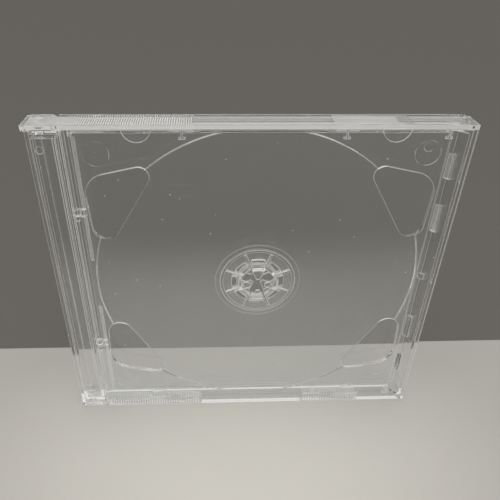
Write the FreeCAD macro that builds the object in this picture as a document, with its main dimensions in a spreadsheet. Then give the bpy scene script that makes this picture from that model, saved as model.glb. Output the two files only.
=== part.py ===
import FreeCAD, Part
import os
import re
import Sketcher
from FreeCAD import Placement, Rotation, Vector

# Double disc case, closed, standing on its long edge. Millimetres.
# x runs along the long edge, y from the lid's window to the back panel, z up.
# The origin is under the middle of the case.
SIZES = [
    ("case_width", 142.0),
    ("case_height", 125.0),
    ("case_depth", 10.4),
    ("lid_panel", 1.2),
    ("lid_side", 1.8),
    ("lid_side_depth", 8.4),
    ("strip_width", 11.4),
    ("edge_gap", 1.0),
    ("lid_pivot_inset", 4.6),
    ("arm_radius", 6.0),
    ("lid_pin_radius", 1.5),
    ("lid_pin_reach", 1.9),
    ("pin_clearance", 0.05),
    ("tab_radius", 4.7),
    ("tab_thickness", 0.8),
    ("tab_spread", 82.7),
    ("tab_shift", 0.8),
    ("booklet_gap", 1.6),
    ("catch_width", 7.2),
    ("catch_spread", 52.4),
    ("catch_reach", 1.0),
    ("clip_inset", 7.8),
    ("stem_width", 0.6),
    ("stem_reach", 2.6),
    ("stem_foot", 2.2),
    ("stop_inset", 2.4),
    ("stop_width", 1.0),
    ("stop_reach", 1.8),
    ("border_inset", 0.4),
    ("border_width", 1.0),
    ("border_rise", 0.5),
    ("nub_width", 1.3),
    ("nub_length", 2.2),
    ("nub_rise", 1.0),
    ("nub_spread", 60.0),
    ("base_panel", 1.2),
    ("spine_wall", 1.2),
    ("spine_inset", 1.0),
    ("side_gap", 0.2),
    ("seam_gap", 0.1),
    ("cover_gap", 0.3),
    ("swing_gap", 0.3),
    ("rail_wall", 1.2),
    ("rail_depth", 3.4),
    ("hinge_wall", 1.4),
    ("lug_reach", 1.9),
    ("lug_inset", 0.6),
    ("lug_inner_start", 20.2),
    ("lug_inner_length", 10.8),
    ("lug_outer_start", 41.2),
    ("lug_outer_length", 9.0),
    ("lug_middle_length", 2.4),
    ("ramp_length", 5.0),
    ("ramp_tip", 0.8),
    ("bar_wall", 1.1),
    ("bar_gap", 0.2),
    ("bar_end_gap", 0.8),
    ("bar_seat", 0.05),
    ("bar_recess", 0.2),
    ("bar_step", 0.6),
    ("ledge_gap", 0.1),
    ("leaf_pivot_offset", 2.0),
    ("ear_inset", 28.6),
    ("leaf_pin_radius", 0.55),
    ("leaf_pin_root", 0.5),
    ("ear_radius", 1.15),
    ("ear_width", 2.4),
    ("ear_gap", 0.3),
    ("ring_radius", 1.2),
    ("ring_inset", 3.8),
    ("leaf_offset", 0.3),
    ("leaf_edge", 1.6),
    ("leaf_web", 1.0),
    ("leaf_gap", 0.7),
    ("leaf_side_gap", 3.8),
    ("disc_shift", 0.3),
    ("recess_margin", 1.0),
    ("recess_slope", 0.3),
    ("seat_radius", 16.1),
    ("seat_rise", 0.12),
    ("clamp_radius", 14.25),
    ("clamp_rise", 0.4),
    ("petal_radius", 13.2),
    ("petal_drop", 0.15),
    ("crown_radius", 7.3),
    ("crown_wall", 1.1),
    ("crown_rise", 2.0),
    ("crown_top", 0.8),
    ("lip_reach", 0.25),
    ("crown_hole_radius", 2.6),
    ("slit_width", 0.7),
    ("slit_radius", 12.9),
    ("petal_window_start", 8.0),
    ("petal_window_end", 9.9),
    ("notch_tip_radius", 3.5),
    ("notch_lobe_radius", 4.7),
    ("notch_back_radius", 8.3),
    ("notch_inner_side", 19.7),
    ("notch_inner_end", 15.3),
    ("notch_outer_side", 6.7),
    ("notch_outer_end", 34.3),
    ("notch_back_side", 9.6),
    ("notch_back_end", 22.4),
    ("rib_pitch", 0.75),
    ("rib_groove_width", 0.5),
    ("rib_groove_depth", 0.35),
    ("grip_left_end", -18.8),
    ("grip_right_start", 26.1),
    ("grip_right_end", 50.4),
    ("grip_lip", 0.6),
    ("grip_start", 1.6),
    ("grip_arm_gap", 2.6),
    ("reed_start", 0.4),
    ("reed_pitch", 0.5),
    ("reed_width", 0.3),
    ("reed_depth", 0.15),
    ("reed_end", 1.2),
    ("reed_break", 10.5),
    ("mark_inset", 7.0),
    ("mark_radius", 4.3),
    ("mark_depth", 0.12),
    ("gate_radius", 1.6),
    ("gate_offset", 2.0),
]

doc = FreeCAD.newDocument("double_case")
sheet = doc.addObject("Spreadsheet::Sheet", "Sizes")
for row, (alias, value) in enumerate(SIZES, 1):
    sheet.set(f"A{row}", alias)
    sheet.set(f"B{row}", str(value))
    sheet.setAlias(f"B{row}", alias)
doc.recompute()
ALIAS = re.compile(r"\b(" + "|".join(alias for alias, value in SIZES) + r")\b")


def formula(text):
    """The text with each size's name pointing into the sheet."""
    return ALIAS.sub(r"Sizes.\1", text)


def amount(text):
    """What a formula comes to now."""
    return float(sheet.evalExpression(formula(text)))


def bind(thing, prop, text):
    thing.setExpression(prop, formula(text))


def place(thing, base, turn=Rotation()):
    """Turns a thing about its own origin and binds where that origin lies."""
    thing.Placement = Placement(Vector(), turn)
    for axis, text in zip("xyz", base):
        bind(thing, f"Placement.Base.{axis}", text)


def block(name, x, y, z):
    """A box between a low and a high formula along each axis."""
    made = doc.addObject("Part::Box", name)
    for (low, high), side in zip((x, y, z), ("Length", "Width", "Height")):
        bind(made, side, f"({high}) - ({low})")
    place(made, (x[0], y[0], z[0]))
    return made


ALONG_Y = Rotation(Vector(1, 0, 0), -90)


def rod(name, radius, base, reach, turn=Rotation(), angle="360"):
    """A cylinder from base, along z or as turned, or a slice of one."""
    made = doc.addObject("Part::Cylinder", name)
    bind(made, "Radius", radius)
    bind(made, "Height", reach)
    bind(made, "Angle", angle)
    place(made, base, turn)
    return made


def cone(name, radii, base, reach, turn=Rotation()):
    made = doc.addObject("Part::Cone", name)
    bind(made, "Radius1", radii[0])
    bind(made, "Radius2", radii[1])
    bind(made, "Height", reach)
    place(made, base, turn)
    return made


def fuse(name, shapes):
    made = doc.addObject("Part::MultiFuse", name)
    made.Shapes = shapes
    made.Refine = True
    return made


def common(name, shapes):
    made = doc.addObject("Part::MultiCommon", name)
    made.Shapes = shapes
    return made


def gather(name, shapes):
    """Several separate tools as one."""
    made = doc.addObject("Part::Compound", name)
    made.Links = shapes
    return made


def cut(name, base, tool):
    made = doc.addObject("Part::Cut", name)
    made.Base = base
    made.Tool = tool
    made.Refine = True
    return made


def mirror(name, source, axis, at):
    """A mirror image across the plane at the formula on that axis."""
    made = doc.addObject("Part::Mirroring", name)
    made.Source = source
    made.Normal = Vector(axis == "x", axis == "y", axis == "z")
    bind(made, f"Base.{axis}", at)
    return made


def rack(name, section, along, starts):
    """Straight grooves, each the section moved to a start and pushed along."""
    grooves = []
    for start in starts:
        corners = [start + corner for corner in section]
        face = Part.Face(Part.makePolygon(corners + corners[:1]))
        grooves.append(face.extrude(along))
    made = doc.addObject("Part::Feature", name)
    made.Shape = Part.makeCompound(grooves)
    return made


def wedge(name, near, far, reach, base):
    """A slab whose x limits change from its front face to its back; reach is its depth and height."""
    made = doc.addObject("Part::Wedge", name)
    for prop, text in zip(
        ("Xmin", "Xmax", "X2min", "X2max", "Ymin", "Ymax", "Zmin", "Zmax", "Z2min", "Z2max"),
        (*near, *far, "0", reach[0], "0", reach[1], "0", reach[1]),
    ):
        bind(made, prop, text)
    place(made, base)
    return made


def steps(first, last, pitch):
    return [first + pitch * turn for turn in range(int((last - first) / pitch) + 1)]


FRONT = "-case_depth / 2"
BACK = "case_depth / 2"
LEFT = "-case_width / 2"
RIGHT = "case_width / 2"
TOP = "case_height"
MIDDLE = "case_height / 2"
LID_INSIDE = "-case_depth / 2 + lid_panel"
LID_BACK = "-case_depth / 2 + lid_side_depth"
LID_EDGE = "-case_width / 2 + strip_width"
PIVOT = "-case_width / 2 + lid_pivot_inset"
BASE_INSIDE = "case_depth / 2 - base_panel"
SPINE_LEFT = "-case_width / 2 + spine_inset"
SPINE_RIGHT = "case_width / 2 - spine_inset"
SPINE_FRONT = "-case_depth / 2 + lid_panel + cover_gap"
SHELL_LOW = "lid_side + side_gap"
RAIL_INSIDE = "lid_side + side_gap + rail_wall"
LEAF_PIVOT = "-case_width / 2 + strip_width + leaf_pivot_offset"
LEAF_RIGHT = "case_width / 2 - spine_inset - spine_wall - leaf_side_gap"
LEAF_LOW = "lid_side + side_gap + rail_wall + leaf_gap"
LEAF_FRONT = "leaf_offset - leaf_edge / 2"
LEAF_BACK = "leaf_offset + leaf_edge / 2"
LEAF_HALF = f"(({LEAF_RIGHT}) - ({LEAF_PIVOT})) / 2"
LEAF_HALF_HIGH = f"({MIDDLE} - ({LEAF_LOW}))"
DISC_X = f"(({LEAF_RIGHT}) + ({LEAF_PIVOT})) / 2 + disc_shift"
SEAT = "leaf_web / 2 + clamp_rise"
HUB_REACH = "(leaf_edge + crown_rise)"
PETAL_WINDOW_SPAN = 32.0


def grip_grooves(name, first, y):
    """V grooves across the bottom edge, in the two grip lengths."""
    half = amount("rib_groove_width / 2")
    depth = amount("rib_groove_depth")
    pitch = amount("rib_pitch")
    section = [Vector(-half, 0, 0), Vector(half, 0, 0), Vector(0, 0, depth)]
    low, high = (amount(text) for text in y)
    spots = steps(amount(first), amount("grip_left_end"), pitch)
    spots += steps(amount("grip_right_start"), amount("grip_right_end"), pitch)
    starts = [Vector(spot, low, 0) for spot in spots]
    return rack(name, section, Vector(0, high - low, 0), starts)


def make_lid():
    panel = block("lid_window", (LID_EDGE, RIGHT), (FRONT, LID_INSIDE), ("0", TOP))
    side = block("lid_side_low", (LEFT, RIGHT), (FRONT, LID_BACK), ("0", "lid_side"))
    arm = common(
        "lid_arm_low",
        [
            block("arm_blank", (LEFT, f"{PIVOT} + arm_radius"), ("0", BACK), ("0", "lid_side")),
            rod("arm_round", "arm_radius", (PIVOT, "0", "0"), "lid_side"),
        ],
    )
    tip = "lid_pin_radius / 3"
    pin = rod("lid_pin", "lid_pin_radius", (PIVOT, "0", "lid_side"), f"lid_pin_reach - {tip}")
    pin_tip = cone(
        "lid_pin_tip",
        ("lid_pin_radius", f"lid_pin_radius - {tip}"),
        (PIVOT, "0", f"lid_side + lid_pin_reach - {tip}"),
        tip,
    )
    low = [side, arm, pin, pin_tip]
    tab_y = (f"{LID_INSIDE} + booklet_gap", f"{LID_INSIDE} + booklet_gap + tab_thickness")
    upright = Rotation(Vector(1, 0, 0), 90)
    for name, sign in (("left", "-"), ("right", "+")):
        base = (f"{DISC_X} + tab_shift {sign} tab_spread / 2", tab_y[1], "lid_side")
        low.append(rod(f"tab_{name}", "tab_radius", base, "tab_thickness", upright, "180"))
    catch_top = "lid_side + catch_reach"
    stem_top = f"{catch_top} + stem_reach"
    for name, spot, bar in (
        ("left", f"{DISC_X} - catch_spread / 2", "catch_width"),
        ("right", f"{DISC_X} + catch_spread / 2", "catch_width"),
        ("corner", f"{RIGHT} - clip_inset", "stem_foot"),
    ):
        for piece, width, z in (
            ("catch", bar, ("lid_side", catch_top)),
            ("stem", "stem_width", (catch_top, stem_top)),
            ("foot", "stem_foot", (f"{stem_top} - stem_width", stem_top)),
        ):
            x = (f"{spot} - {width} / 2", f"{spot} + {width} / 2")
            low.append(block(f"{piece}_{name}", x, tab_y, z))
    stop_left = f"{LID_EDGE} + stop_inset"
    stop_y = (LID_INSIDE, f"{LID_INSIDE} + booklet_gap")
    stop_z = ("lid_side", "lid_side + stop_reach")
    low.append(block("booklet_stop", (stop_left, f"{stop_left} + stop_width"), stop_y, stop_z))
    border_left = f"{LID_EDGE} + border_inset"
    border = block(
        "lid_border",
        (border_left, f"{border_left} + border_width"),
        (LID_INSIDE, f"{LID_INSIDE} + border_rise"),
        ("lid_side", f"{TOP} - lid_side"),
    )
    nub_middle = f"{MIDDLE} - nub_spread / 2"
    nub = block(
        "border_nub",
        (border_left, f"{border_left} + nub_width"),
        (LID_INSIDE, f"{LID_INSIDE} + nub_rise"),
        (f"{nub_middle} - nub_length / 2", f"{nub_middle} + nub_length / 2"),
    )
    nubs = [nub, mirror("border_nub_high", nub, "z", MIDDLE)]
    low_half = fuse("lid_low", low)
    high_half = mirror("lid_high", low_half, "z", MIDDLE)
    whole = fuse("lid_blank", [panel, border, *nubs, low_half, high_half])
    grooves = grip_grooves("lid_grooves_low", f"{LEFT} + grip_start", (f"{FRONT} + grip_lip", LID_BACK))
    tools = [grooves, mirror("lid_grooves_high", grooves, "z", MIDDLE)]
    return cut("lid", whole, gather("lid_grooves", tools))


def make_base():
    panel = block("base_back", (SPINE_LEFT, SPINE_RIGHT), (BASE_INSIDE, BACK), ("0", TOP))
    spine_y = (SPINE_FRONT, BACK)
    spine_z = (SHELL_LOW, f"{TOP} - ({SHELL_LOW})")
    wall_inside = f"{SPINE_RIGHT} - spine_wall"
    left_x = (SPINE_LEFT, f"{SPINE_LEFT} + spine_wall")
    left = block("spine_left", left_x, (f"{FRONT} + bar_recess", BACK), spine_z)
    right = block("spine_right", (wall_inside, SPINE_RIGHT), spine_y, spine_z)
    shoulder_y = (f"{LID_BACK} + seam_gap", BACK)
    shoulder = block("shoulder_low", (SPINE_LEFT, SPINE_RIGHT), shoulder_y, ("0", RAIL_INSIDE))
    swing = rod(
        "arm_swing",
        "sqrt(lid_pivot_inset ^ 2 + (case_depth / 2) ^ 2) + swing_gap",
        (PIVOT, "0", "0"),
        SHELL_LOW,
    )
    hinge_right = f"{LID_EDGE} - edge_gap"
    hinge_z = (SHELL_LOW, f"{SHELL_LOW} + hinge_wall")
    hinge = block("hinge_wall_low", (SPINE_LEFT, hinge_right), spine_y, hinge_z)
    rail_front = f"{BASE_INSIDE} - rail_depth"
    rail = block("rail_low", (SPINE_LEFT, SPINE_RIGHT), (rail_front, BACK), (SHELL_LOW, RAIL_INSIDE))
    ramp = wedge(
        "ramp_low",
        ("ramp_length - ramp_tip", "ramp_length"),
        ("0", "ramp_length"),
        (f"{rail_front} - ({SPINE_FRONT})", "rail_wall"),
        (f"{wall_inside} - ramp_length", SPINE_FRONT, SHELL_LOW),
    )

    def lug(name, start, length):
        """A snap lug on the right wall, from a start below the middle."""
        return wedge(
            f"lug_{name}",
            ("lug_reach * 0.75", "lug_reach"),
            ("0", "lug_reach"),
            ("lug_reach * 0.8", length),
            (f"{wall_inside} - lug_reach", f"{rail_front} + lug_inset", f"{MIDDLE} - {start} - {length}"),
        )

    low = [shoulder, hinge, rail, ramp]
    low.append(lug("inner", "lug_inner_start", "lug_inner_length"))
    low.append(lug("outer", "lug_outer_start", "lug_outer_length"))
    middle_lug = lug("middle", "(-lug_middle_length / 2)", "lug_middle_length")
    low_half = fuse("base_low", low)
    bore = rod("lid_bore", "lid_pin_radius + pin_clearance", (PIVOT, "0", SHELL_LOW), "hinge_wall")
    high_half = mirror("base_high", low_half, "z", MIDDLE)
    whole = fuse("base_blank", [panel, left, right, middle_lug, low_half, high_half])
    grip_y = (shoulder_y[0], f"{BACK} - grip_lip")
    grooves = grip_grooves("base_grooves_low", f"{PIVOT} + arm_radius + grip_arm_gap", grip_y)
    tools = [swing, bore, grooves]
    tools += [mirror(f"{tool.Name}_high", tool, "z", MIDDLE) for tool in tools]
    return cut("base", whole, gather("base_tools", tools))


def make_hinge_bar():
    ends = f"{SHELL_LOW} + hinge_wall + bar_end_gap"
    z = (ends, f"{TOP} - ({ends})")
    bar_left = f"{SPINE_LEFT} + spine_wall + bar_gap"
    bar_right = f"{LID_EDGE} - edge_gap"
    plate_right = f"{bar_right} - bar_step"
    ledge = f"{LID_INSIDE} + ledge_gap"
    y = (f"{FRONT} + bar_recess", f"{BASE_INSIDE} - bar_seat")
    pieces = [
        block("bar_plate", (bar_left, plate_right), (y[0], f"{ledge} + bar_wall / 2"), z),
        block("bar_ledge", (f"{plate_right} - bar_wall", bar_right), (ledge, f"{ledge} + bar_wall"), z),
        block("bar_left_wall", (bar_left, f"{bar_left} + bar_wall"), y, z),
        block("bar_right_wall", (f"{bar_right} - bar_wall", bar_right), (ledge, y[1]), z),
    ]
    centre = f"{LEAF_LOW} + ear_inset"
    ear_z = (f"{centre} - ear_width / 2", f"{centre} + ear_width / 2")
    ear = fuse(
        "ear_low",
        [
            block(
                "ear_arm",
                (f"{bar_right} - bar_wall / 2", LEAF_PIVOT),
                ("leaf_offset - ear_radius * 0.4", "leaf_offset + ear_radius"),
                ear_z,
            ),
            rod("ear_round", "ear_radius", (LEAF_PIVOT, "leaf_offset", ear_z[0]), "ear_width"),
        ],
    )
    bore_base = (LEAF_PIVOT, "leaf_offset", ear_z[0])
    bore = rod("leaf_bore", "leaf_pin_radius + pin_clearance", bore_base, "ear_width")
    drilled = cut("ear_drilled", ear, bore)
    whole = fuse("bar_blank", pieces + [drilled, mirror("ear_high", drilled, "z", MIDDLE)])
    ring = rod("ring_low", "ring_radius", (PIVOT, y[0], f"{ends} + ring_inset"), "mark_depth", ALONG_Y)
    return cut("hinge_bar", whole, gather("rings", [ring, mirror("ring_high", ring, "z", MIDDLE)]))


def notch_outline():
    """The finger notch, three tangent arcs and the lines between them, set in from the leaf's corner."""
    sketch = doc.addObject("Sketcher::SketchObject", "notch_outline")
    corners = []
    for name, size in (
        ("inner", "notch_tip_radius"),
        ("outer", "notch_lobe_radius"),
        ("back", "notch_back_radius"),
    ):
        across = f"{LEAF_HALF} - disc_shift - notch_{name}_side"
        up = f"{LEAF_HALF_HIGH} - notch_{name}_end"
        corners.append((Vector(amount(across), amount(up), 0), size, across, up))
    tangents = []
    for turn, (centre, size, *spot) in enumerate(corners):
        other, other_size = corners[(turn + 1) % 3][:2]
        radius, other_radius = amount(size), amount(other_size)
        ahead = other - centre
        lean = (radius - other_radius) / ahead.Length
        ahead = ahead.normalize()
        out = ahead * lean + Vector(ahead.y, -ahead.x, 0) * (1 - lean * lean) ** 0.5
        tangents.append((centre + out * radius, other + out * other_radius))
    for turn, (centre, size, across, up) in enumerate(corners):
        radius = amount(size)
        start, stop = tangents[turn - 1][1] - centre, tangents[turn][0] - centre
        angles = [Vector(1, 0, 0).getAngle(side) * (1 if side.y >= 0 else -1) for side in (start, stop)]
        circle = Part.Circle(centre, Vector(0, 0, 1), radius)
        arc = sketch.addGeometry(Part.ArcOfCircle(circle, *angles))
        for rule, text, constraint in (
            ("across", across, Sketcher.Constraint("DistanceX", -1, 1, arc, 3, centre.x)),
            ("up", up, Sketcher.Constraint("DistanceY", -1, 1, arc, 3, centre.y)),
            ("radius", size, Sketcher.Constraint("Radius", arc, radius)),
        ):
            sketch.renameConstraint(sketch.addConstraint(constraint), f"{rule}_{turn}")
            bind(sketch, f"Constraints.{rule}_{turn}", text)
    for turn in range(3):
        line = sketch.addGeometry(Part.LineSegment(*tangents[turn]))
        sketch.addConstraint(Sketcher.Constraint("Tangent", turn, 2, line, 1))
        sketch.addConstraint(Sketcher.Constraint("Tangent", line, 2, (turn + 1) % 3, 1))
    place(sketch, (DISC_X, "leaf_offset", MIDDLE), Rotation(Vector(1, 0, 0), 90))
    return sketch


def make_crown():
    """The ring that grips a disc by its hole, before it is split into petals, on the front face."""
    toward = Rotation(Vector(1, 0, 0), 90)
    lip_low, lip_high = "crown_rise * 0.6", "crown_rise * 0.75"

    def ring(name, radius, start, reach):
        base = (DISC_X, f"leaf_offset - ({start})", MIDDLE)
        return rod(name, radius, base, reach, toward)

    def flare(name, radii, start, reach):
        base = (DISC_X, f"leaf_offset - ({start})", MIDDLE)
        return cone(name, radii, base, reach, toward)

    outside = fuse(
        "crown_outside",
        [
            ring("crown_tube", "crown_radius", "0", f"{SEAT} + {lip_low}"),
            flare(
                "lip_low",
                ("crown_radius", "crown_radius + lip_reach"),
                f"{SEAT} + {lip_low}",
                f"{lip_high} - {lip_low}",
            ),
            flare(
                "lip_high",
                ("crown_radius + lip_reach", "crown_radius - lip_reach"),
                f"{SEAT} + {lip_high}",
                f"crown_rise - {lip_high}",
            ),
        ],
    )
    inside = fuse(
        "crown_inside",
        [
            ring("crown_hollow", "crown_radius - crown_wall", "0", f"{SEAT} + crown_rise - crown_top"),
            ring("crown_hole", "crown_hole_radius", "0", f"{SEAT} + crown_rise"),
        ],
    )
    return cut("crown", outside, inside)


def sectors(name, first):
    """Every other eighth of a disc about the hub, centred on the angle given."""
    slices = []
    for turn in range(4):
        angle = first + 90 * turn - 22.5
        slices.append(
            rod(
                f"{name}_{turn}",
                "clamp_radius",
                (DISC_X, f"leaf_offset - {HUB_REACH}", MIDDLE),
                f"2 * {HUB_REACH}",
                Rotation(Vector(0, 1, 0), angle) * ALONG_Y,
                "45",
            )
        )
    return gather(name, slices)


def hub_tools():
    """Slits between the petals and a curved window at each petal's foot."""
    front = f"leaf_offset - {HUB_REACH}"
    depth = f"2 * {HUB_REACH}"
    start = "crown_hole_radius / 2"
    slits = []
    windows = []
    for turn in range(8):
        spin = Rotation(Vector(0, 1, 0), -45 * turn - 22.5)
        slit = doc.addObject("Part::Box", f"slit_{turn}")
        bind(slit, "Length", f"slit_radius - {start}")
        bind(slit, "Width", depth)
        bind(slit, "Height", "slit_width")
        right, up = spin.multVec(Vector(1, 0, 0)), spin.multVec(Vector(0, 0, 1))
        place(
            slit,
            (
                f"{DISC_X} + ({start}) * {right.x:.9f} - slit_width / 2 * {up.x:.9f}",
                front,
                f"{MIDDLE} + ({start}) * {right.z:.9f} - slit_width / 2 * {up.z:.9f}",
            ),
            spin,
        )
        slits.append(slit)
        turned = Rotation(Vector(0, 1, 0), 45 * turn - PETAL_WINDOW_SPAN / 2) * ALONG_Y
        span = str(PETAL_WINDOW_SPAN)
        base = (DISC_X, front, MIDDLE)
        windows.append(rod(f"window_{turn}", "petal_window_end", base, depth, turned, span))
    core = rod("window_core", "petal_window_start", (DISC_X, front, MIDDLE), depth, ALONG_Y)
    return [fuse("slits", slits), cut("windows", gather("window_slices", windows), core)]


def border_reeds():
    """Fine grooves along the leaf's hinge edge, in two lengths with a plain stretch between."""
    half = amount("reed_width / 2")
    section = [Vector(-half, 0, 0), Vector(half, 0, 0), Vector(0, amount("reed_depth"), 0)]
    low, high = amount(f"{LEAF_LOW} + reed_end"), amount(f"{MIDDLE} - reed_break")
    starts = [
        Vector(amount(f"{LEAF_PIVOT} + reed_start + {turn} * reed_pitch"), amount(LEAF_FRONT), low)
        for turn in range(3)
    ]
    reeds = rack("reeds_low", section, Vector(0, 0, high - low), starts)
    return [reeds, mirror("reeds_high", reeds, "z", MIDDLE)]


def moulding_marks():
    """A round ejector mark in each corner of the leaf, with a deeper gate mark in it."""
    marks = []
    for name, x_sign, z_sign in (("a", "-", "-"), ("b", "-", "+"), ("c", "+", "-"), ("d", "+", "+")):
        x = f"{DISC_X} {x_sign} ({LEAF_HALF} - mark_inset)"
        z = f"{MIDDLE} {z_sign} ({LEAF_HALF_HIGH} - mark_inset)"
        marks.append(rod(f"mark_{name}", "mark_radius", (x, LEAF_FRONT, z), "mark_depth", ALONG_Y))
        gate = (x, LEAF_FRONT, f"{z} + gate_offset")
        marks.append(rod(f"gate_{name}", "gate_radius", gate, "2 * mark_depth", ALONG_Y))
    return [fuse("moulding_marks", marks)]


def make_disc_leaf():
    leaf_y = (LEAF_FRONT, LEAF_BACK)
    leaf_z = (LEAF_LOW, f"{TOP} - ({LEAF_LOW})")
    leaf_high = f"{TOP} - 2 * ({LEAF_LOW})"
    blank = [
        block("leaf_plate", (LEAF_PIVOT, LEAF_RIGHT), leaf_y, leaf_z),
        rod("leaf_hinge_edge", "leaf_edge / 2", (LEAF_PIVOT, "leaf_offset", LEAF_LOW), leaf_high),
    ]
    rim = f"{LEAF_HALF} - recess_margin"
    recess = cone(
        "recess_front",
        (rim, f"{rim} - recess_slope"),
        (DISC_X, LEAF_FRONT, MIDDLE),
        "leaf_edge / 2 - leaf_web / 2",
        ALONG_Y,
    )
    notch = doc.addObject("Part::Extrusion", "notch_high_right")
    notch.Base = notch_outline()
    notch.DirMode = "Normal"
    bind(notch, "LengthFwd", "leaf_edge")
    notch.Symmetric = True
    notch.Solid = True
    notch_left = mirror("notch_high_left", notch, "x", DISC_X)
    hinge_z = f"{LEAF_LOW} + ear_inset"
    window_z = "ear_width / 2 + ear_gap"
    window = block(
        "ear_window_low",
        (f"{LEAF_PIVOT} - leaf_edge", f"{LEAF_PIVOT} + ear_radius + ear_gap"),
        leaf_y,
        (f"{hinge_z} - ({window_z})", f"{hinge_z} + {window_z}"),
    )
    pockets = [
        recess,
        mirror("recess_back", recess, "y", "leaf_offset"),
        notch,
        notch_left,
        mirror("notch_low_right", notch, "z", MIDDLE),
        mirror("notch_low_left", notch_left, "z", MIDDLE),
        window,
        mirror("ear_window_high", window, "z", MIDDLE),
    ]
    pocketed = cut("leaf_pocketed", fuse("leaf_blank", blank), gather("leaf_pockets", pockets))
    rest = []
    for name in ("seat", "clamp"):
        rise = f"{name}_rise"
        base = (DISC_X, f"leaf_offset - leaf_web / 2 - {rise}", MIDDLE)
        rest.append(rod(f"hub_{name}", f"{name}_radius", base, f"leaf_web + 2 * {rise}", ALONG_Y))
    pin = rod(
        "leaf_pin_low",
        "leaf_pin_radius",
        (LEAF_PIVOT, "leaf_offset", f"{hinge_z} - ({window_z}) - leaf_pin_root"),
        f"2 * ({window_z} + leaf_pin_root)",
    )
    rest += [pin, mirror("leaf_pin_high", pin, "z", MIDDLE)]
    hole = rod(
        "hub_hole",
        "crown_radius - crown_wall",
        (DISC_X, "leaf_offset - leaf_edge", MIDDLE),
        "2 * leaf_edge",
        ALONG_Y,
    )
    floor_base = (DISC_X, f"leaf_offset - {SEAT}", MIDDLE)
    petal_floor = rod("petal_floor_front", "petal_radius", floor_base, "petal_drop", ALONG_Y)
    hollows = [hole, petal_floor, mirror("petal_floor_back", petal_floor, "y", "leaf_offset")]
    opened = cut("leaf_opened", fuse("leaf_with_hub", [pocketed] + rest), fuse("hub_hollows", hollows))
    crown = make_crown()
    front = common("petals_front", [crown, sectors("front_sectors", 0)])
    crown_back = mirror("crown_back", crown, "y", "leaf_offset")
    back = common("petals_back", [crown_back, sectors("back_sectors", 45)])
    petalled = fuse("leaf_petalled", [opened, front, back])
    tools = hub_tools() + border_reeds() + moulding_marks()
    return cut("disc_leaf", petalled, gather("leaf_tools", tools))


parts = [make_lid(), make_base(), make_hinge_bar(), make_disc_leaf()]
doc.recompute()
for thing in doc.Objects:
    if "Invalid" in thing.State or "Error" in thing.State:
        raise RuntimeError(f"{thing.Name} did not build: {thing.State}")
os.makedirs("parts", exist_ok=True)
for part in parts:
    shape = part.Shape
    if shape.isNull() or not shape.isValid() or len(shape.Solids) != 1:
        raise RuntimeError(f"{part.Label} is not one sound solid")
    shape.Solids[0].exportStep(f"parts/{part.Label}.step")
    box = shape.BoundBox
    print(part.Label, round(shape.Volume / 1000, 2), "cm3", box)
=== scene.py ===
import math

import bpy
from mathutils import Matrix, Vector


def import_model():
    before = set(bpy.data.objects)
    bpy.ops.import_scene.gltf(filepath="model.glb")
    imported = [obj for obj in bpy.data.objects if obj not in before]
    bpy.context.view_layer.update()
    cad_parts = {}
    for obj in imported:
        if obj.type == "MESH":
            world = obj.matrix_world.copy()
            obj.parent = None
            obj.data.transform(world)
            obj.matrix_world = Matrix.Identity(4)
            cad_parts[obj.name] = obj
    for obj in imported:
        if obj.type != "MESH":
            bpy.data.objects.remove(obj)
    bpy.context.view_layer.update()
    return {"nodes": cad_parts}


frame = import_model()
scene = bpy.context.scene
scene.view_settings.view_transform = "Standard"
scene.cycles.max_bounces = 32
scene.cycles.transmission_bounces = 32
scene.cycles.glossy_bounces = 16
scene.cycles.transparent_max_bounces = 48

MM = 0.001

# Where features lie, as in the part's source.
MID_HEIGHT = 62.5 * MM
LEAF_CENTRE = (4.0 * MM, MID_HEIGHT)
MARK_REACH = (54.3 * MM, 51.6 * MM)
MARK_EDGE = (5.2 * MM, 4.8 * MM)
SEAT_START = (15.2 * MM, 15.5 * MM)
SEAT_END = (17.2 * MM, 16.9 * MM)
GROOVE_BOTTOM = (0.13 * MM, 0.2 * MM)
OUTER_FACE = (0.02 * MM, 0.08 * MM)

# Clear polystyrene. A noise has its scale, its detail and, where set, its roughness.
POLYSTYRENE_IOR = 1.585
TINT = (0.985, 0.99, 0.99, 1)
SHADOW_TINT = (0.94, 0.945, 0.945, 1)
POLISH = 0.015
PATCH_NOISE = (60, 3)
PATCH_RANGE = (0.5, 0.75)
SCUFF_ROUGH = 0.10
SCUFF_STRETCH = (0.08, 1, 1)
SCUFF_NOISE = (900, 2, 0.6)
SCUFF_RANGE = (0.62, 0.72)
WAVE_NOISE = (45, 1.5, 0.4)
WAVE_STRENGTH = 0.025
WAVE_HEIGHT = 0.2 * MM
SEED_STEP = 0.31
SEED_SHIFT = (1.0, 2.3, 1.7)

# White edges and white sloping faces: painted highlight. Dust: in the groove bottoms and in specks.
EDGE_ROUND = 0.27 * MM
EDGE_SAMPLES = 6
EDGE_TURN = (0.98, 0.84)
GROOVE_LEAN = (0.15, 0.25)
SLOPE_START = (0.25, 0.45)
SLOPE_END = (0.95, 0.85)
# Painted highlight on sloping faces: strength on the leaf and on the other parts.
LEAF_SLOPE_HIGHLIGHT = 0.2
OTHER_SLOPE_HIGHLIGHT = 0.08
GROOVE_DUST = 0.85
SWIRL_NOISE = (170, 1)
SWIRL_RANGE = (0.6, 0.45)
# The painted edge highlight is weaker over the disc seat's step and on sloping faces.
SEAT_FADE = 0.65
SLOPE_FADE = 0.65
SCUFF_HAZE = 0.05
SPECK_SCALE = 130
SPECK_SIZE = (0.034, 0.02)
SPECK_HAZE = 0.8
# White of the dust, used as well for the painted highlights on edges and slopes.
DUST_AND_HIGHLIGHT_WHITE = (0.9, 0.89, 0.87, 1)
GLOW_SHARE = 0.25

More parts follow.
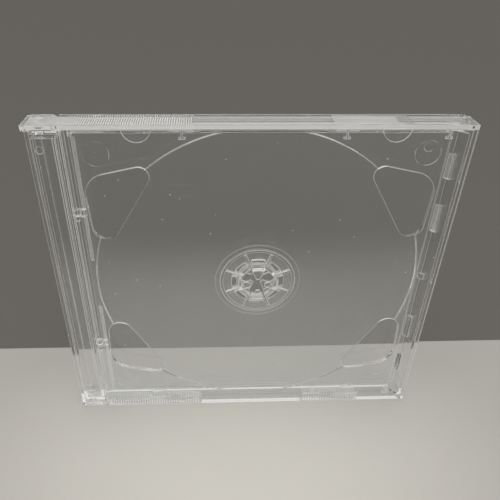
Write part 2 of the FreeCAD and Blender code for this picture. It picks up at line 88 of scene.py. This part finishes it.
# Table top, backdrop and room.
BACKDROP = (0.128, 0.121, 0.110, 1)
FLOOR_GREY = (0.405, 0.391, 0.364, 1)
# Colour at the middle of a painted pool of light on the floor in front of the case.
FLOOR_PAINTED_POOL = (0.62, 0.60, 0.558, 1)
FLOOR_FAR = (0.16, 0.155, 0.145, 1)
CEILING = (0.80, 0.79, 0.77, 1)
HORIZON = (0.04, 0.5)
FLOOR_REACH = 1.5
FLOOR_DROP = 0.2 * MM
FLOOR_FADE = (-150 * MM, -80 * MM)
FLOOR_END = (31.7 * MM, 32.3 * MM)
FLOOR_ROUGH = 0.7
FLOOR_SHINE = 0.2
# Middle, reach and fade of the painted pool of light.
POOL_CENTRE = (-5 * MM, -37 * MM)
POOL_REACH = (140 * MM, 85 * MM)
POOL_FADE = (1.0, 0.1)

# Camera.
LENS = 37.98
SENSOR = 36.0
SHIFT = (0.0347, 0.0427)
CLIP_START = 5 * MM
CAMERA_PLACE = (-13.30 * MM, -163.03 * MM, 180.69 * MM)
CAMERA_TURN = (55.10, -0.72, -2.24)


class Tree:
    """Short names for building a node tree."""

    def __init__(self, owner):
        owner.use_nodes = True
        self.tree = owner.node_tree

    def add(self, kind, **values):
        node = self.tree.nodes.new(f"ShaderNode{kind}")
        for name, value in values.items():
            setattr(node, name, value)
        return node

    def link(self, source, target):
        self.tree.links.new(source, target)

    def put(self, socket, value):
        """Links an output to the socket, or sets it to a plain value."""
        if isinstance(value, bpy.types.NodeSocket):
            self.link(value, socket)
        else:
            socket.default_value = value

    def math(self, operation, *values, clamp=False):
        node = self.add("Math", operation=operation, use_clamp=clamp)
        for socket, value in zip(node.inputs, values):
            self.put(socket, value)
        return node.outputs[0]

    def ramp(self, value, low, high):
        """0 at low to 1 at high, smoothly."""
        node = self.add("MapRange", interpolation_type="SMOOTHSTEP")
        for socket, number in zip(node.inputs, (value, low, high)):
            self.put(socket, number)
        return node.outputs[0]

    def noise(self, vector, scale, detail, rough=0.55):
        node = self.add("TexNoise")
        self.link(vector, node.inputs["Vector"])
        node.inputs["Scale"].default_value = scale
        node.inputs["Detail"].default_value = detail
        node.inputs["Roughness"].default_value = rough
        return node.outputs["Fac"]

    def mapped(self, vector, **values):
        """The vector after a Mapping node with these values."""
        node = self.add("Mapping")
        for name, value in values.items():
            node.inputs[name].default_value = value
        self.link(vector, node.inputs["Vector"])
        return node.outputs[0]

    def axes(self, vector):
        """The X, Y and Z outputs of a vector."""
        node = self.add("SeparateXYZ")
        self.link(vector, node.inputs[0])
        return node.outputs

    def place(self):
        return self.add("TexCoord").outputs["Object"]

    def normal(self):
        return self.add("NewGeometry").outputs["Normal"]

    def edge_mask(self):
        """1 on a sharp edge, 0 away from it."""
        round_off = self.add("Bevel", samples=EDGE_SAMPLES)
        round_off.inputs["Radius"].default_value = EDGE_ROUND
        along = self.add("VectorMath", operation="DOT_PRODUCT")
        self.link(round_off.outputs[0], along.inputs[0])
        self.link(self.normal(), along.inputs[1])
        return self.ramp(along.outputs["Value"], *EDGE_TURN)

    def slanted(self):
        """1 on the flanks of the grip grooves, which lean along the case's long edge."""
        axes = self.axes(self.normal())
        lean = self.math("MULTIPLY", axes["X"], axes["Z"])
        return self.ramp(self.math("ABSOLUTE", lean), *GROOVE_LEAN)

    def sunk(self, start, end):
        """0 at the case's top and bottom faces, from start in, to 1 at end."""
        height = self.axes(self.place())["Z"]
        away = self.math("ABSOLUTE", self.math("SUBTRACT", height, MID_HEIGHT))
        return self.ramp(away, MID_HEIGHT - start, MID_HEIGHT - end)

    def away_from(self, reaches):
        """Distance across the leaf from the four points that lie these reaches from its middle."""
        axes = self.axes(self.place())
        squares = []
        for axis, centre, reach in zip("XZ", LEAF_CENTRE, reaches):
            away = self.math("ABSOLUTE", self.math("SUBTRACT", axes[axis], centre))
            squares.append(self.math("POWER", self.math("SUBTRACT", away, reach), 2.0))
        return self.math("SQRT", self.math("ADD", *squares))

    def near_mark(self):
        """1 over the four round ejector marks of the leaf."""
        return self.ramp(self.away_from(MARK_REACH), *MARK_EDGE)

    def near_seat(self):
        """1 over the shallow outer step of the disc seat."""
        away = self.away_from((0.0, 0.0))
        return self.math("MULTIPLY", self.ramp(away, *SEAT_START), self.ramp(away, *SEAT_END))

    def sloping(self):
        """1 on faces that lean between the window's plane and square to it."""
        across = self.math("ABSOLUTE", self.axes(self.normal())["Y"])
        return self.math("MULTIPLY", self.ramp(across, *SLOPE_START), self.ramp(across, *SLOPE_END))

    def less(self, value, taken):
        """The value times what is left of 1 after the share taken."""
        return self.math("MULTIPLY", value, self.math("SUBTRACT", 1.0, taken))

    def blend(self, factor, first, second):
        """A colour between two."""
        node = self.add("Mix", data_type="RGBA")
        for socket, value in zip((node.inputs[0], node.inputs[6], node.inputs[7]), (factor, first, second)):
            self.put(socket, value)
        return node.outputs[2]

    def mix(self, factor, first, second):
        """A shader between two."""
        node = self.add("MixShader")
        for socket, value in zip(node.inputs, (factor, first, second)):
            self.put(socket, value)
        return node.outputs[0]

    def coloured(self, kind, colour):
        """A plain shader of one colour."""
        node = self.add(kind)
        node.inputs["Color"].default_value = colour
        return node.outputs[0]


def clear_plastic(name, seed, ribbed, marked):
    """Moulded clear polystyrene: smooth, faintly wavy, with hairline scuffs and a light dusting. Its white
    sharp edges and white sloping faces are painted highlight.
    """
    mat = bpy.data.materials.new(name)
    tree = Tree(mat)
    shader = tree.tree.nodes["Principled BSDF"]
    shader.inputs["Base Color"].default_value = TINT
    shader.inputs["Transmission Weight"].default_value = 1.0
    shader.inputs["IOR"].default_value = POLYSTYRENE_IOR
    place = tree.mapped(tree.place(), Location=[seed * shift for shift in SEED_SHIFT])

    patches = tree.ramp(tree.noise(place, *PATCH_NOISE), *PATCH_RANGE)
    hairs = tree.noise(tree.mapped(place, Scale=SCUFF_STRETCH), *SCUFF_NOISE)
    worn = tree.math("MULTIPLY", patches, tree.ramp(hairs, *SCUFF_RANGE))
    tree.put(shader.inputs["Roughness"], tree.math("MULTIPLY_ADD", worn, SCUFF_ROUGH, POLISH))

    bump = tree.add("Bump")
    bump.inputs["Strength"].default_value = WAVE_STRENGTH
    bump.inputs["Distance"].default_value = WAVE_HEIGHT
    tree.link(tree.noise(place, *WAVE_NOISE), bump.inputs["Height"])
    tree.link(bump.outputs[0], shader.inputs["Normal"])

    # Sharp edges are whitened: a painted highlight in place of the glints on their rounded edges.
    edge = tree.edge_mask()
    # Sloping faces are whitened as painted highlight, strongly on the leaf and faintly elsewhere; on ribbed
    # parts real groove dust is added to it.
    slopes = tree.sloping()
    slope_highlight_and_groove_dust = tree.math("MULTIPLY", slopes, LEAF_SLOPE_HIGHLIGHT if marked else OTHER_SLOPE_HIGHLIGHT)
    if ribbed:
        flanks = tree.slanted()
        bottoms = tree.math("MULTIPLY", flanks, tree.sunk(*GROOVE_BOTTOM))
        slope_highlight_and_groove_dust = tree.math("MULTIPLY_ADD", bottoms, GROOVE_DUST, slope_highlight_and_groove_dust)
        edge = tree.math("MULTIPLY", tree.less(edge, flanks), tree.sunk(*OUTER_FACE))
    # On the leaf the painted edge highlight fades over the ejector marks, the seat's step and sloping
    # faces.
    if marked:
        swirl = tree.ramp(tree.noise(place, *SWIRL_NOISE), *SWIRL_RANGE)
        faint = tree.math("MULTIPLY", tree.near_mark(), swirl)
        faint = tree.math("MULTIPLY_ADD", tree.near_seat(), SEAT_FADE, faint)
        faint = tree.math("MULTIPLY_ADD", slopes, SLOPE_FADE, faint, clamp=True)
        edge = tree.less(edge, faint)

    cells = tree.add("TexVoronoi")
    cells.inputs["Scale"].default_value = SPECK_SCALE
    tree.link(place, cells.inputs["Vector"])
    specks = tree.math("MULTIPLY", tree.ramp(cells.outputs["Distance"], *SPECK_SIZE), SPECK_HAZE)
    white_share = tree.math("MULTIPLY_ADD", worn, SCUFF_HAZE, specks, clamp=True)
    # White share: the painted highlights on edges and slopes, together with the real dust specks, groove
    # dust and scuffs.
    white_share = tree.math("ADD", edge, tree.math("ADD", slope_highlight_and_groove_dust, white_share), clamp=True)
    # One white shader for the dust and for the painted highlights.
    dust_and_highlight = tree.coloured("BsdfDiffuse", DUST_AND_HIGHLIGHT_WHITE)
    glow = tree.coloured("BsdfTranslucent", DUST_AND_HIGHLIGHT_WHITE)
    surface = tree.mix(white_share, shader.outputs[0], tree.mix(GLOW_SHARE, dust_and_highlight, glow))

    shadow = tree.add("LightPath").outputs["Is Shadow Ray"]
    surface = tree.mix(shadow, surface, tree.coloured("BsdfTransparent", SHADOW_TINT))
    tree.link(surface, tree.tree.nodes["Material Output"].inputs["Surface"])
    return mat


def stage_floor():
    """A light grey table top with a painted pool of light in front of the case, darker far in front, and a
    dark stretch behind it.
    """
    mesh = bpy.data.meshes.new("floor")
    corners = [(x * FLOOR_REACH, y * FLOOR_REACH, 0) for x, y in ((-1, -1), (1, -1), (1, 1), (-1, 1))]
    mesh.from_pydata(corners, [], [(0, 1, 2, 3)])
    floor = bpy.data.objects.new("floor", mesh)
    floor.location.z = -FLOOR_DROP
    scene.collection.objects.link(floor)
    mat = bpy.data.materials.new("floor")
    tree = Tree(mat)
    shader = tree.tree.nodes["Principled BSDF"]
    axes = tree.axes(tree.place())
    near = tree.ramp(axes["Y"], *FLOOR_FADE)
    behind = tree.ramp(axes["Y"], *FLOOR_END)
    squares = []
    for axis, centre, reach in zip("XY", POOL_CENTRE, POOL_REACH):
        away = tree.math("DIVIDE", tree.math("SUBTRACT", axes[axis], centre), reach)
        squares.append(tree.math("POWER", away, 2.0))
    # A painted pool of light, strongest at its middle.
    light_pool = tree.ramp(tree.math("SQRT", tree.math("ADD", *squares)), *POOL_FADE)
    table = tree.blend(light_pool, tree.blend(near, FLOOR_FAR, FLOOR_GREY), FLOOR_PAINTED_POOL)
    tree.link(tree.blend(behind, table, BACKDROP), shader.inputs["Base Color"])
    shader.inputs["Roughness"].default_value = FLOOR_ROUGH
    shader.inputs["Specular IOR Level"].default_value = FLOOR_SHINE
    mesh.materials.append(mat)


def world():
    """Grey at eye level, a paler ceiling above."""
    made = bpy.data.worlds.new("room")
    scene.world = made
    tree = Tree(made)
    seen = tree.tree.nodes["Background"]
    height = tree.axes(tree.add("TexCoord").outputs["Generated"])["Z"]
    tree.link(tree.blend(tree.ramp(height, *HORIZON), BACKDROP, CEILING), seen.inputs["Color"])


def lamp(name, place, aim, size, watts, shines=True):
    """A rectangular lamp. One that doesn't shine isn't seen in or through the plastic."""
    data = bpy.data.lights.new(name, "AREA")
    data.shape = "RECTANGLE"
    data.size, data.size_y = size
    data.energy = watts
    made = bpy.data.objects.new(name, data)
    scene.collection.objects.link(made)
    made.location = place
    made.rotation_euler = (made.location - Vector(aim)).to_track_quat("Z", "Y").to_euler()
    made.visible_glossy = shines
    made.visible_transmission = shines


def photo_camera():
    data = bpy.data.cameras.new("photo_view")
    data.sensor_width = SENSOR
    data.lens = LENS
    data.shift_x, data.shift_y = SHIFT
    data.clip_start = CLIP_START
    camera = bpy.data.objects.new("photo_view", data)
    scene.collection.objects.link(camera)
    camera.location = CAMERA_PLACE
    camera.rotation_euler = [math.radians(turn) for turn in CAMERA_TURN]
    scene.camera = camera


for number, node in enumerate(("lid", "base", "hinge_bar", "disc_leaf")):
    piece = frame["nodes"][node]
    mat = clear_plastic(f"clear_{node}", SEED_STEP * number, node in ("lid", "base"), node == "disc_leaf")
    piece.data.materials.clear()
    piece.data.materials.append(mat)

stage_floor()
world()
lamp("ceiling", place=(0.05, -0.25, 0.9), aim=(0, -0.05, 0.06), size=(0.6, 0.4), watts=1.2)
lamp("front", place=(0.15, -0.8, 0.35), aim=(0, 0, 0.06), size=(0.7, 0.4), watts=3.0, shines=False)
lamp("window", place=(-0.8, -0.3, 0.6), aim=(0, 0, 0.06), size=(0.5, 0.7), watts=1.0)
photo_camera()
